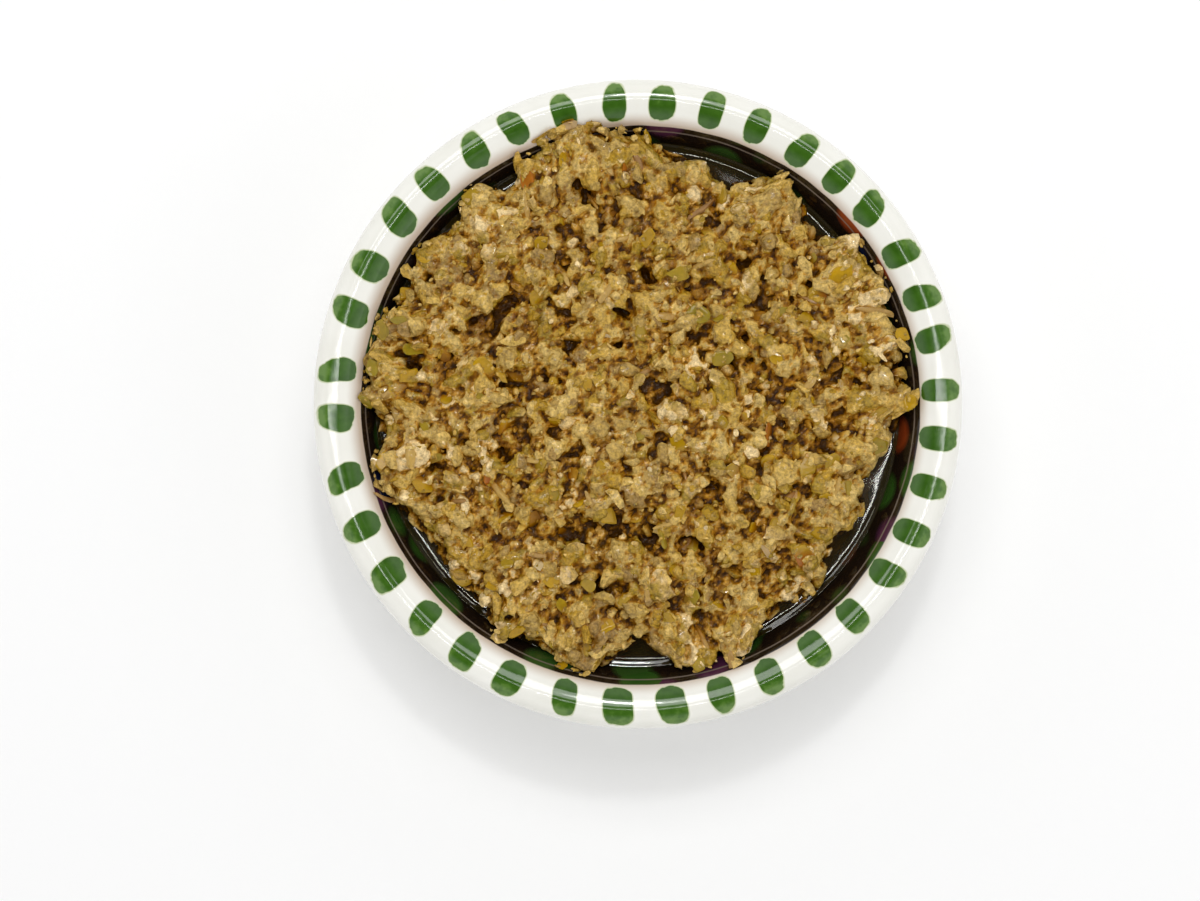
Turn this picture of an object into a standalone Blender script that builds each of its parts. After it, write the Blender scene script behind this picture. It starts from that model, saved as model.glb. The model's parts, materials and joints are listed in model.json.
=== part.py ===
"""A glazed bowl filled with coarse green olive tapenade, which stands in a pool of its own oil.

Metres, +Z up. The origin is the centre of the foot ring's underside, on the surface the bowl stands on.
Three solids: the bowl, the heap of tapenade, and the ring of oil between the heap and the wall.
"""

import math

import bpy
from mathutils import Vector, noise

MM = 0.001
BOWL_SEGMENTS = 48
HEAP_SEGMENTS = 84
GAP = 0.3 * MM

# The bowl: a rolled lip that is tighter outside its crest than inside it, an inside that flares
# up to the lip, a full body and a turned foot ring.
RIM_DIAMETER = 140 * MM
BOWL_HEIGHT = 52 * MM
LIP_OUTER_RADIUS = 3.8 * MM
LIP_INNER_RADIUS = 8.4 * MM
LIP_INNER_END = 135
WAIST_RADIUS = 56 * MM
WAIST_HEIGHT = 37.5 * MM
FLARE_POWER = 2.3
BODY_POWER = 2.4
SHOULDER_RADIUS = 64 * MM
SHOULDER_HEIGHT = 36.5 * MM
SHOULDER_POWER = 2.1
FLOOR_HEIGHT = 8.5 * MM
FLOOR_THICKNESS = 5.5 * MM
FOOT_RADIUS = 37.5 * MM
FOOT_WIDTH = 6 * MM
FOOT_HOLLOW = 4.5 * MM
FOOT_ROUNDING = 1 * MM

# The contents
OIL_BELOW_RIM = 8.5 * MM
OIL_RING_WIDTH = 9 * MM
OIL_RING_DEPTH = 9 * MM
DOME_ABOVE_RIM = 1.8 * MM
SHOULDER_BELOW_DOME = 4.2 * MM
LUMP_SIZE = 8 * MM
LUMP_HEIGHT = 2.2 * MM

# How far the heap reaches from the axis, and the bays where it draws back from the wall and
# oil shows. Each bay is its bearing and half width in degrees, and its depth.
HEAP_REACH = 58.9 * MM
BAYS = (
    (45, 5, 6.6 * MM),
    (67, 6, 7.4 * MM),
    (80, 8, 4.6 * MM),
    (121, 4, 3.6 * MM),
    (137, 6, 3.4 * MM),
    (155, 7, 2.2 * MM),
    (185, 4, 4.2 * MM),
    (213, 9, 5.8 * MM),
    (229, 7, 4.4 * MM),
    (246, 4, 3.2 * MM),
    (270, 6, 9.2 * MM),
    (303, 8, 5.2 * MM),
    (324, 9, 7.2 * MM),
    (342, 7, 7.8 * MM),
    (353, 4, 3.6 * MM),
)
EDGE_RIPPLE = 0.5 * MM
RIPPLE_SIZE = 5 * MM

# One clump has slid out onto the lip.
CLUMP_BEARING = 104
CLUMP_HALF_WIDTH = 5
CLUMP_REACH = 4.2 * MM
CLUMP_LIFT = 3 * MM

# Sizes that follow from those
LIP_CREST_RADIUS = RIM_DIAMETER / 2 - LIP_OUTER_RADIUS
OIL_LEVEL = BOWL_HEIGHT - OIL_BELOW_RIM
OIL_BOTTOM = OIL_LEVEL - OIL_RING_DEPTH
DOME_TOP = BOWL_HEIGHT + DOME_ABOVE_RIM


def lip_point(degrees):
    """A point on the lip's section: 0 is its outermost point, 90 its crest, and more is inside."""
    angle = math.radians(degrees)
    bend = LIP_OUTER_RADIUS if degrees <= 90 else LIP_INNER_RADIUS
    return (
        LIP_CREST_RADIUS + bend * math.cos(angle),
        BOWL_HEIGHT - bend + bend * math.sin(angle),
    )


def body_point(radius, height, depth, power, share):
    """A point on a full curve that drops by a depth to the axis; share runs from 0 to 1 along it."""
    angle = share * math.pi / 2
    return (
        radius * math.cos(angle) ** (2 / power),
        height - depth * math.sin(angle) ** (2 / power),
    )


def hollow_points():
    """The bowl's inside: from the middle of its floor up to the waist, then flaring to the lip."""
    body_steps = 7
    points = [(0, FLOOR_HEIGHT)]
    depth = WAIST_HEIGHT - FLOOR_HEIGHT
    for i in range(1, body_steps):
        share = 1 - i / body_steps
        points.append(body_point(WAIST_RADIUS, WAIST_HEIGHT, depth, BODY_POWER, share))
    flare_steps = 5
    lip_radius, lip_height = lip_point(LIP_INNER_END)
    for i in range(flare_steps + 1):
        share = i / flare_steps
        radius = WAIST_RADIUS + (lip_radius - WAIST_RADIUS) * share**FLARE_POWER
        points.append((radius, WAIST_HEIGHT + (lip_height - WAIST_HEIGHT) * share))
    return points


def bowl_profile():
    """The bowl's half section, from the middle of its inside, over the lip, to under its foot."""
    lip = [lip_point(degrees) for degrees in (120, 105, 90, 67.5, 45, 22.5, 0, -22.5, -45)]
    neck = [
        (SHOULDER_RADIUS + 2 * MM, lip_point(-90)[1] - 0.3 * MM),
        (SHOULDER_RADIUS + 0.5 * MM, SHOULDER_HEIGHT + 3.2 * MM),
    ]
    depth = SHOULDER_HEIGHT - FLOOR_HEIGHT + FLOOR_THICKNESS
    body = []
    for share in (0, 0.15, 0.3, 0.44, 0.56):
        body.append(body_point(SHOULDER_RADIUS, SHOULDER_HEIGHT, depth, SHOULDER_POWER, share))
    foot_inner = FOOT_RADIUS - FOOT_WIDTH
    foot = [
        (FOOT_RADIUS + 0.3 * MM, FOOT_HOLLOW + 2 * MM),
        (FOOT_RADIUS, FOOT_ROUNDING),
        (FOOT_RADIUS - FOOT_ROUNDING, 0),
        (foot_inner + FOOT_ROUNDING, 0),
        (foot_inner, FOOT_ROUNDING),
        (foot_inner - FOOT_ROUNDING, FOOT_HOLLOW),
        (0, FLOOR_HEIGHT - FLOOR_THICKNESS),
    ]
    return hollow_points() + lip + neck + body + foot


def hollow_radius(height):
    """The radius of the bowl's inside at a height, along the straight steps of its section."""
    points = hollow_points()
    for (inner, low), (outer, high) in zip(points, points[1:]):
        if low <= height <= high:
            return inner + (outer - inner) * (height - low) / (high - low)
    return points[-1][0]


def free_radius(height):
    """How far out the heap may reach at a height, clear of the bowl's inside and of its lip."""
    gap = 1.5 * GAP
    bend = LIP_INNER_RADIUS + gap
    rise = height - (BOWL_HEIGHT - LIP_INNER_RADIUS)
    if rise >= bend:
        return LIP_CREST_RADIUS
    over_lip = LIP_CREST_RADIUS - math.sqrt(bend**2 - max(0, rise) ** 2)
    lip_end = lip_point(LIP_INNER_END)
    return over_lip if over_lip > lip_end[0] - gap else hollow_radius(height) - gap


def against_hollow(low, high, gap):
    """The bowl's inside between two heights, from the top down, drawn in by a gap."""
    between = [point for point in hollow_points() if low < point[1] < high]
    between = [(hollow_radius(low), low), *between, (hollow_radius(high), high)]
    return [(radius - gap, height) for radius, height in reversed(between)]


def oil_inner_radius():
    return hollow_radius(OIL_LEVEL) - OIL_RING_WIDTH


def oil_profile():
    """The oil ring's closed section: its level top, the wall side, and the side of the heap."""
    return [(oil_inner_radius(), OIL_LEVEL), *against_hollow(OIL_BOTTOM, OIL_LEVEL, GAP)]


def heap_profile():
    """The heap's half section at its full reach, from its dome down to the bowl's floor."""
    rings = 17
    dome_radius = HEAP_REACH - 1.5 * MM
    dome = []
    for i in range(rings + 1):
        share = i / rings
        dome.append((dome_radius * share, DOME_TOP - SHOULDER_BELOW_DOME * share**3))
    underside = OIL_LEVEL + GAP
    edge = [
        (HEAP_REACH, (dome[-1][1] + underside) / 2),
        (HEAP_REACH - 0.8 * MM, underside + 0.6 * MM),
        (HEAP_REACH - 2.2 * MM, underside),
        (oil_inner_radius() - 2.5 * GAP, underside),
    ]
    root_bottom = FLOOR_HEIGHT + 0.5 * MM
    root = against_hollow(root_bottom, OIL_BOTTOM - 2 * GAP, 1.2 * GAP)
    return dome + edge + root + [(0, root_bottom)]


def bay_depth(bearing):
    """How far the heap draws back from its full reach at a bearing in degrees."""
    depth = 0
    for middle, half_width, bay in BAYS:
        away = (bearing - middle + 180) % 360 - 180
        depth += bay * math.exp(-((away / half_width) ** 2))
    return depth


def clump_share(bearing):
    """How much of the clump on the lip lies at a bearing in degrees."""
    return math.exp(-(((bearing - CLUMP_BEARING) / CLUMP_HALF_WIDTH) ** 2))


def smoothstep(low, high, value):
    share = min(1, max(0, (value - low) / (high - low)))
    return share * share * (3 - 2 * share)


def make_uneven(mesh):
    """Draws the turned heap in at its bays, and raises lumps on what stands above the oil."""
    for vertex in mesh.vertices:
        point = vertex.co
        radius = math.hypot(point.x, point.y)
        above_oil = point.z - (OIL_LEVEL + GAP)
        if above_oil < -0.01 * MM or radius < 0.01 * MM:
            continue
        if radius < oil_inner_radius() and above_oil < 1 * MM:
            continue
        lumps = noise.noise(point / LUMP_SIZE) + 0.5 * noise.noise(point / LUMP_SIZE * 2.1)
        ripple = EDGE_RIPPLE * noise.noise(Vector((point.x, point.y, 0)) / RIPPLE_SIZE)
        pull = smoothstep(HEAP_REACH * 0.6, HEAP_REACH - 1.5 * MM, radius)
        bearing = math.degrees(math.atan2(point.y, point.x))
        clump = pull * clump_share(bearing)
        drawn = radius - pull * (bay_depth(bearing) - ripple)
        drawn += clump * CLUMP_REACH * (smoothstep(3 * MM, 6 * MM, above_oil) - 0.35)
        point.z += LUMP_HEIGHT * lumps * smoothstep(1 * MM, 5 * MM, above_oil)
        point.z += clump * CLUMP_LIFT * smoothstep(3 * MM, 6 * MM, above_oil)
        drawn = min(drawn, free_radius(point.z))
        point.x *= drawn / radius
        point.y *= drawn / radius


def clear_scene():
    for obj in list(bpy.data.objects):
        bpy.data.objects.remove(obj)


def material(name, colour, roughness):
    made = bpy.data.materials.new(name)
    made.use_nodes = True
    shader = made.node_tree.nodes["Principled BSDF"]
    shader.inputs["Base Color"].default_value = (*colour, 1)
    shader.inputs["Roughness"].default_value = roughness
    shader.inputs["Metallic"].default_value = 0
    return made


def turned(name, profile, closed, segments, finish, collection):
    """A section turned about the vertical axis with a Screw modifier."""
    count = len(profile)
    edges = [(i, i + 1) for i in range(count - 1)]
    if closed:
        edges.append((count - 1, 0))
    mesh = bpy.data.meshes.new(name)
    mesh.from_pydata([(radius, 0, height) for radius, height in profile], edges, [])
    mesh.materials.append(finish)
    obj = bpy.data.objects.new(name, mesh)
    collection.objects.link(obj)
    screw = obj.modifiers.new("Turn", "SCREW")
    screw.steps = segments
    screw.render_steps = segments
    screw.use_merge_vertices = True
    screw.merge_threshold = 0.01 * MM
    screw.use_smooth_shade = True
    return obj


def make_bowl(collection):
    glaze = material("glazed_stoneware", (0.83, 0.81, 0.73), 0.12)
    return turned("bowl", bowl_profile(), False, BOWL_SEGMENTS, glaze, collection)


def make_oil(collection):
    oil = material("olive_oil", (0.10, 0.07, 0.01), 0.05)
    return turned("oil", oil_profile(), True, BOWL_SEGMENTS, oil, collection)


def make_tapenade(collection):
    """Turned, then made a plain mesh so that its points can be moved."""
    olives = material("chopped_olives", (0.29, 0.165, 0.04), 0.45)
    heap = turned("tapenade", heap_profile(), False, HEAP_SEGMENTS, olives, collection)
    evaluated = heap.evaluated_get(bpy.context.evaluated_depsgraph_get())
    mesh = bpy.data.meshes.new_from_object(evaluated)
    heap.modifiers.clear()
    heap.data = mesh
    make_uneven(mesh)
    return heap


def main():
    clear_scene()
    collection = bpy.data.collections.new("bowl_of_tapenade")
    bpy.context.scene.collection.children.link(collection)
    make_bowl(collection)
    make_oil(collection)
    make_tapenade(collection)


main()
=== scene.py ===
# %% [markdown]
# # A painted bowl of green olive tapenade
#
# Tapenade is olives chopped by hand with nuts, garlic and oil. Here it fills a small thick-lipped
# stoneware bowl, white outside with green brush dabs round the lip, and dark inside. The heap
# stands in a moat of its own oil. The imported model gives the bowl, the heap and the oil at their
# real sizes, in metres, and this script dresses them.

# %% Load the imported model
import json
import math
import random

import bmesh
import bpy
import numpy as np
from mathutils import Euler, Matrix, Vector, noise
from mathutils.bvhtree import BVHTree

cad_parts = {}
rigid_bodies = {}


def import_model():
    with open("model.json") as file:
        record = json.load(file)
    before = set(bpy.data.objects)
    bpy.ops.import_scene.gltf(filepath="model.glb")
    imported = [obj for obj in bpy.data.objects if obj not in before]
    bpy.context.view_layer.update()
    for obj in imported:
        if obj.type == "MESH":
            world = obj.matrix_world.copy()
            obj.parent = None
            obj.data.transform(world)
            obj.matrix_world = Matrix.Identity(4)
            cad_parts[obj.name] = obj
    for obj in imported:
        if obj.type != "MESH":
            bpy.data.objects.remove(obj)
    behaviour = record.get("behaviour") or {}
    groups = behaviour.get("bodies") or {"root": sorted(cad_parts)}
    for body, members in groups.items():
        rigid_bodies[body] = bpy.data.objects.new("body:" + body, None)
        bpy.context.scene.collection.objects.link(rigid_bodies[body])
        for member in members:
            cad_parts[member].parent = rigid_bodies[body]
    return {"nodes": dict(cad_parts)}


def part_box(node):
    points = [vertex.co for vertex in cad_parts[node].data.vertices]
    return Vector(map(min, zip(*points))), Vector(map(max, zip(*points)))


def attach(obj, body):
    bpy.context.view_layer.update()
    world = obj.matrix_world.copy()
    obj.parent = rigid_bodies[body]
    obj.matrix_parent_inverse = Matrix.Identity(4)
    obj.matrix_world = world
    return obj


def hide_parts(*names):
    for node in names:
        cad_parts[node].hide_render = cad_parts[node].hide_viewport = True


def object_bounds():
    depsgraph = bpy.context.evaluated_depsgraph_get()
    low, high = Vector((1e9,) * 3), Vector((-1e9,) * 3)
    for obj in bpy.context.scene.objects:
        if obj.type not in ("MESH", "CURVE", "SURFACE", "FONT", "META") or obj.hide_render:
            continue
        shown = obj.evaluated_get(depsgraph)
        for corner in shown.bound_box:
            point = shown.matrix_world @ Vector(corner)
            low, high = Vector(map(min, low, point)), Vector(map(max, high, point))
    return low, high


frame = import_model()
cad_box = [list(corner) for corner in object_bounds()]
MM = 0.001
BOWL_LOW, BOWL_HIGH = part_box("bowl")
OIL_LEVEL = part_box("oil")[1].z
# Blender would otherwise take the seed of its vector noise from the clock at each start.
NOISE_SEED = 3
noise.seed_set(NOISE_SEED)
print("bowl", [round(value / MM, 1) for value in BOWL_HIGH - BOWL_LOW], "mm")

# %% [markdown]
# ## Helpers
#
# Colours are written as sRGB hex values, as a paint chart gives them, and one function turns them
# into the linear values that shaders work in. Another adds any node, of a shader or of Geometry
# Nodes, with its settings and its links in one call, so that a tree reads from top to bottom like
# a recipe. The rest start a material, put an object in the scene, turn a bmesh into a mesh, keep a
# number for each point, and read one property of a whole mesh at once.

# %% Colours and nodes
def linear(hex_colour):
    """An sRGB hex value as the linear colour that a shader takes."""
    channels = [int(hex_colour[i : i + 2], 16) / 255 for i in (0, 2, 4)]
    curve = [c / 12.92 if c <= 0.04045 else ((c + 0.055) / 1.055) ** 2.4 for c in channels]
    return (*curve, 1)


def add(tree, kind, inputs=None, stops=None, **settings):
    """Adds a node. Each input is a value, an output, or a node, which stands for its first output.

    Stops fill a colour ramp, and settings are the node's own.
    """
    node = tree.nodes.new(kind)
    for name, value in settings.items():
        setattr(node, name, value)
    for socket, value in (inputs or {}).items():
        if isinstance(value, bpy.types.Node):
            value = value.outputs[0]
        if isinstance(value, bpy.types.NodeSocket):
            tree.links.new(value, node.inputs[socket])
        else:
            node.inputs[socket].default_value = value
    for i, (place, colour) in enumerate(stops or ()):
        elements = node.color_ramp.elements
        element = elements[i] if i < 2 else elements.new(place)
        element.position = place
        element.color = linear(colour)
    return node


def new_material(name):
    """A material with its node tree and its Principled shader."""
    material = bpy.data.materials.new(name)
    material.use_nodes = True
    return material, material.node_tree, material.node_tree.nodes["Principled BSDF"]


def new_object(name, data):
    """An object in the scene that holds a mesh, a light or a camera."""
    made = bpy.data.objects.new(name, data)
    bpy.context.scene.collection.objects.link(made)
    return made


def finished_mesh(name, made):
    """The mesh of what a bmesh has built, which is then given up."""
    mesh = bpy.data.meshes.new(name)
    made.to_mesh(mesh)
    made.free()
    return mesh


def store(mesh, name, values):
    """Keeps a number for each point of a mesh, under a name that a material or a tree can read."""
    mesh.attributes.new(name, "FLOAT", "POINT").data.foreach_set("value", values)


def read_all(items, name, width, kind=np.float32):
    """One property of all the points or edges of a mesh, with a row for each."""
    values = np.empty(len(items) * width, kind)
    items.foreach_get(name, values)
    return values.reshape(-1, width)


print("helpers ready")

# %% [markdown]
# ## Camera
#
# The bowl is seen from straight above, from about an arm's length, a little off the bowl's axis.
# A long lens from there keeps the lip's circle true.

# %% Camera
CAMERA_ABOVE_RIM = 0.85
FRAME_WIDTH = 257.7 * MM
SENSOR_WIDTH = 36
CAMERA_PLACE = (-8.2 * MM, -10.0 * MM, BOWL_HIGH.z + CAMERA_ABOVE_RIM)

camera = new_object("camera", bpy.data.cameras.new("camera"))
camera.data.sensor_width = SENSOR_WIDTH
camera.data.lens = SENSOR_WIDTH * CAMERA_ABOVE_RIM / FRAME_WIDTH
camera.data.clip_start = 0.05
camera.location = CAMERA_PLACE
bpy.context.scene.camera = camera
print("lens", round(camera.data.lens, 1), "mm")

# %% [markdown]
# ## Light and floor
#
# A white table in a daylight studio has one large soft source behind it and a weaker one on the
# right, with a pale room all round. The room is dark overhead, because wet food that mirrors a
# white ceiling looks grey. A strip of light on the left draws the thin line that runs along the
# glazed lip, and a small bright lamp beside the large one gives wet spots their sharp glints. The
# floor is painted board, whose roller left a faint orange-peel texture.

# %% Light
def area_light(name, place, target, size, power):
    """A rectangular white light, aimed at a point."""
    data = bpy.data.lights.new(name, "AREA")
    data.shape = "RECTANGLE"
    data.size, data.size_y = size
    data.energy = power
    light = new_object(name, data)
    light.location = place
    light.rotation_euler = (Vector(target) - Vector(place)).to_track_quat("-Z", "Y").to_euler()


RIM = (0, 0, BOWL_HIGH.z)
ROOM_BRIGHTNESS = 0.97
ROOM_SHADES = [(0.0, "e4e4e4"), (0.3, "ffffff"), (0.66, "ffffff"), (0.92, "303030")]
area_light("far_softbox", (-0.03, 0.35, 1.15), RIM, (0.55, 0.42), 3.7)
area_light("right_softbox", (0.6, -0.2, 1.1), RIM, (0.7, 0.7), 0.95)
area_light("overhead_strip", (-0.09, 0.0, 1.25), RIM, (0.014, 0.8), 0.9)
area_light("spark", (0.03, 0.36, 1.14), RIM, (0.08, 0.08), 1.4)

world = bpy.data.worlds.new("pale_room")
bpy.context.scene.world = world
world.use_nodes = True
tree = world.node_tree
looking = add(tree, "ShaderNodeTexCoord")
height = add(tree, "ShaderNodeSeparateXYZ", {0: looking.outputs["Generated"]})
room = add(tree, "ShaderNodeValToRGB", {0: height.outputs["Z"]}, ROOM_SHADES)
tree.links.new(room.outputs[0], tree.nodes["Background"].inputs["Color"])
tree.nodes["Background"].inputs["Strength"].default_value = ROOM_BRIGHTNESS
bpy.context.scene.view_settings.view_transform = "Standard"
bpy.context.scene.view_settings.look = "None"
print("lights", [light.name for light in bpy.data.lights])

# %% Floor
FLOOR_SIDE = 4
PEEL_BUMPS = 0.9 / MM
PEEL_HEIGHT = 0.2 * MM

floor_mesh = bpy.data.meshes.new("floor")
half = FLOOR_SIDE / 2
corners = [(-half, -half, 0), (half, -half, 0), (half, half, 0), (-half, half, 0)]
floor_mesh.from_pydata(corners, [], [(0, 1, 2, 3)])
floor = new_object("floor", floor_mesh)
# Emulsion that is rolled onto board dries matt and off-white, with a fine dimpled skin.
board, tree, shader = new_material("roller_painted_board")
place = add(tree, "ShaderNodeTexCoord")
peel = add(tree, "ShaderNodeTexNoise", {"Vector": place.outputs["Object"], "Scale": PEEL_BUMPS, "Detail": 2})
bump = add(tree, "ShaderNodeBump", {"Height": peel.outputs["Fac"], "Strength": 0.12, "Distance": PEEL_HEIGHT})
shader.inputs["Base Color"].default_value = linear("fbfbfb")
shader.inputs["Roughness"].default_value = 0.55
tree.links.new(bump.outputs["Normal"], shader.inputs["Normal"])
floor_mesh.materials.append(board)
print("floor", FLOOR_SIDE, "m")

# %% [markdown]
# ## The bowl
#
# A potter throws the bowl on a wheel and turns its foot, so it is a section turned about the
# axis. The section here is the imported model's, in finer steps. The lip is left a touch uneven,
# as a hand leaves it. Each point also keeps how far along the section it lies, which the glaze
# reads to know the lip from the inside.

# %% The bowl's section
RIM_RADIUS = BOWL_HIGH.x
RIM_HEIGHT = BOWL_HIGH.z
LIP_OUTER_BEND = 3.8 * MM
LIP_INNER_BEND = 8.4 * MM
LIP_CREST = RIM_RADIUS - LIP_OUTER_BEND
WAIST = (56 * MM, 37.5 * MM)
SHOULDER = (64 * MM, 36.5 * MM)
FLOOR_HEIGHT = 8.5 * MM
FLOOR_THICKNESS = 5.5 * MM
FOOT_OUTER = 37.5 * MM
FOOT_INNER = 31.5 * MM
FLARE_POWER = 2.3
INSIDE_POWER = 2.4
OUTSIDE_POWER = 2.1
OUTSIDE_SHARE = 0.56
# Where the lip's bend starts and ends, in degrees, and the number of steps in each stretch.
LIP_INNER_END = 135
LIP_OUTER_END = -45
LIP_STEP = 5
INSIDE_STEPS = 28
FLARE_STEPS = 24
OUTSIDE_STEPS = 22
CURVE_STEPS = 6


def lip_point(degrees):
    """A point on the lip: 0 is its outermost and 90 its crest."""
    angle = math.radians(degrees)
    bend = LIP_OUTER_BEND if degrees <= 90 else LIP_INNER_BEND
    return (
        LIP_CREST + bend * math.cos(angle),
        RIM_HEIGHT - bend + bend * math.sin(angle),
    )


def body_point(start, depth, power, share):
    """A point on a full curve that drops by a depth to the axis."""
    angle = share * math.pi / 2
    return (
        start[0] * math.cos(angle) ** (2 / power),
        start[1] - depth * math.sin(angle) ** (2 / power),
    )


def flare_point(share):
    """A point on the inside between the waist and the lip."""
    top = lip_point(LIP_INNER_END)
    return (
        WAIST[0] + (top[0] - WAIST[0]) * share**FLARE_POWER,
        WAIST[1] + (top[1] - WAIST[1]) * share,
    )


def curve_through(points, steps):
    """A smooth curve through a few points of a section, as points on it."""
    made = []
    padded = [points[0], *points, points[-1]]
    for i in range(1, len(padded) - 2):
        before, start, end, after = [Vector(point) for point in padded[i - 1 : i + 3]]
        for step in range(steps):
            t = step / steps
            bend = 2 * start + (end - before) * t
            bend += (2 * before - 5 * start + 4 * end - after) * t**2
            bend += (3 * start - before - 3 * end + after) * t**3
            made.append(tuple(bend / 2))
    return made


def bowl_section():
    """The bowl's section, from the middle of its floor over the lip to the middle of its underside."""
    inside_depth = WAIST[1] - FLOOR_HEIGHT
    inside = [(0, FLOOR_HEIGHT)]
    for i in range(1, INSIDE_STEPS):
        inside.append(body_point(WAIST, inside_depth, INSIDE_POWER, 1 - i / INSIDE_STEPS))
    inside += [flare_point(i / FLARE_STEPS) for i in range(FLARE_STEPS)]
    lip = [lip_point(angle) for angle in range(LIP_INNER_END, LIP_OUTER_END - 1, -LIP_STEP)]
    depth = SHOULDER[1] - FLOOR_HEIGHT + FLOOR_THICKNESS
    below_lip = [
        lip_point(LIP_OUTER_END),
        (SHOULDER[0] + 2 * MM, lip_point(-90)[1] - 0.3 * MM),
        (SHOULDER[0] + 0.5 * MM, SHOULDER[1] + 3.2 * MM),
        SHOULDER,
    ]
    body = []
    for i in range(OUTSIDE_STEPS + 1):
        body.append(body_point(SHOULDER, depth, OUTSIDE_POWER, OUTSIDE_SHARE * i / OUTSIDE_STEPS))
    foot = [
        (FOOT_OUTER + 0.5 * MM, 7.2 * MM),
        (FOOT_OUTER + 0.1 * MM, 5 * MM),
        (FOOT_OUTER, 1 * MM),
        (FOOT_OUTER - 0.3 * MM, 0.3 * MM),
        (FOOT_OUTER - 1 * MM, 0),
        (FOOT_INNER + 1 * MM, 0),
        (FOOT_INNER + 0.3 * MM, 0.3 * MM),
        (FOOT_INNER, 1 * MM),
        (FOOT_INNER - 0.4 * MM, 3.4 * MM),
        (FOOT_INNER - 1.6 * MM, 4.4 * MM),
        (0, FLOOR_HEIGHT - FLOOR_THICKNESS),
    ]
    return inside + lip + curve_through(below_lip, CURVE_STEPS)[1:] + body + foot


section = bowl_section()
along = [0.0]
for (r0, z0), (r1, z1) in zip(section, section[1:]):
    along.append(along[-1] + math.hypot(r1 - r0, z1 - z0))
print(len(section), "points in the section,", round(along[-1] / MM), "mm long")

# %% Turn the section
BOWL_SEGMENTS = 240
WOBBLE = 0.12 * MM
WOBBLE_SIZE = 30 * MM
WOBBLE_START = 30 * MM
WOBBLE_GROWTH = 18 * MM


def hand_wobble(x, y, z):
    """How far a point of the thrown bowl is out of true, which grows towards the lip."""
    near_lip = max(0.0, min(1.0, (z - WOBBLE_START) / WOBBLE_GROWTH))
    return WOBBLE * near_lip * noise.noise(Vector((x, y, z)) / WOBBLE_SIZE)


def turned_bowl():
    """The section turned about the axis, with how far along it each point lies."""
    made = bmesh.new()
    length = made.verts.layers.float.new("along")
    rings = []
    for (radius, height), distance in zip(section, along):
        ring = []
        for i in range(1 if radius == 0 else BOWL_SEGMENTS):
            angle = math.tau * i / BOWL_SEGMENTS
            out = Vector((math.cos(angle), math.sin(angle), 0))
            point = out * radius + Vector((0, 0, height))
            if radius > 0:
                point -= out * abs(hand_wobble(*point))
            vertex = made.verts.new(point)
            vertex[length] = distance
            ring.append(vertex)
        rings.append(ring)
    for lower, upper in zip(rings, rings[1:]):
        for i in range(BOWL_SEGMENTS):
            j = (i + 1) % BOWL_SEGMENTS
            corners = [ring[k % len(ring)] for ring, k in ((lower, i), (lower, j), (upper, j), (upper, i))]
            made.faces.new(dict.fromkeys(corners)).smooth = True
    bmesh.ops.recalc_face_normals(made, faces=made.faces)
    return finished_mesh("glazed_bowl", made)


bowl = new_object("glazed_bowl", turned_bowl())
print(len(bowl.data.polygons), "faces in the bowl")

# %% [markdown]
# ## The glaze
#
# The clay is dipped in a white tin glaze that breaks to a warm brown where it thins at the inner
# edge, and that band is darkened a little more as a painted reflection of the dark inside. The
# lip's dabs are single touches of a loaded brush in copper green, near enough the same distance
# apart, which is why each has a slightly different size and lean. The bowl's inside is painted
# almost black, with a thin pale line under the lip that is a painted highlight, and leaves and
# berries further down that show through the oil.

# %% The lip's dabs
DAB_COUNT = 37
DAB_INNER_END = 1.1 * MM
DAB_LENGTH = 8.6 * MM
DAB_WIDTH = 5.9 * MM
DAB_WIDEST = 0.42
# How much each dab's length, half width, lean, place and blunt end vary, from least to most.
DAB_STRETCH = (0.92, 1.1)
DAB_HALF_WIDTH = (0.43 * DAB_WIDTH, 0.55 * DAB_WIDTH)
DAB_LEAN = (-1.5 * MM, 1.3 * MM)
DAB_SHIFT = (-0.5 * MM, 0.5 * MM)
DAB_BLUNTNESS = (1.5, 3.2)
DAB_RAGGEDNESS = 1.3 * MM
DAB_RAGGED_DETAIL = 0.3 / MM
# The dabs crowd a little on one side of the bowl, and the first of them isn't quite at 0.
DAB_CROWDING = (math.radians(-2.41), math.radians(2.82))
FIRST_DAB = math.radians(0.45)
LIP_START = along[INSIDE_STEPS + FLARE_STEPS]
LIP_PITCH = math.tau * LIP_CREST / DAB_COUNT


def swayed(tree, bearing, value, east, north):
    """A value with a part that swings once round the bowl: so much at the east and at the north."""
    for wave, amount in (("COSINE", east), ("SINE", north)):
        swing = add(tree, "ShaderNodeMath", {0: bearing}, operation=wave)
        value = add(tree, "ShaderNodeMath", {0: swing, 1: amount, 2: value}, operation="MULTIPLY_ADD")
    return value


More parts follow.
